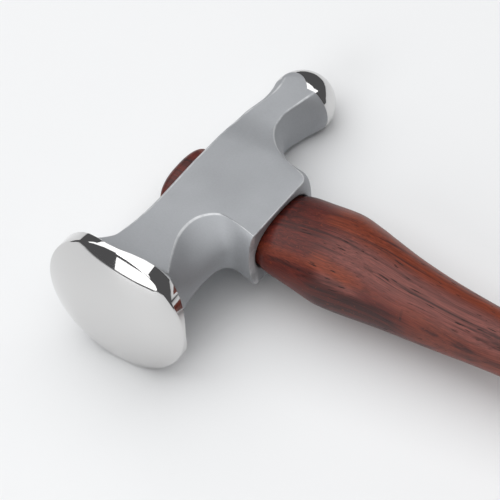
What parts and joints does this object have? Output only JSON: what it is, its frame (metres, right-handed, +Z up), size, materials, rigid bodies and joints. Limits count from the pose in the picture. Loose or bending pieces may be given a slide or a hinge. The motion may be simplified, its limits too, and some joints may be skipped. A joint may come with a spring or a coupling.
{
  "type": "chasing hammer",
  "caption": "Metalsmith's chasing hammer: steel head with a wide domed striking face and a ball end, on a slim hardwood handle with a bulbous grip, lying on its side.",
  "frame": {"origin": "middle of the box's underside, on the bench that the hammer lies on", "axes": "+X along the handle from the head to the grip, +Y along the head from the striking face to the ball, +Z up from the bench"},
  "size_m": [0.2454, 0.076, 0.0325],
  "materials": {
    "head_steel": "satin body between a mirror-polished face and ball",
    "handle_wood": "satin-oiled red-brown open-pored hardwood",
    "wedge_wood": "raw pale hardwood",
    "wedge_steel": "dull steel"
  },
  "bodies": {
    "root": {"head": "head_steel", "handle": "handle_wood", "wooden_wedge": "wedge_wood", "steel_wedge": "wedge_steel"}
  },
  "joints": []
}
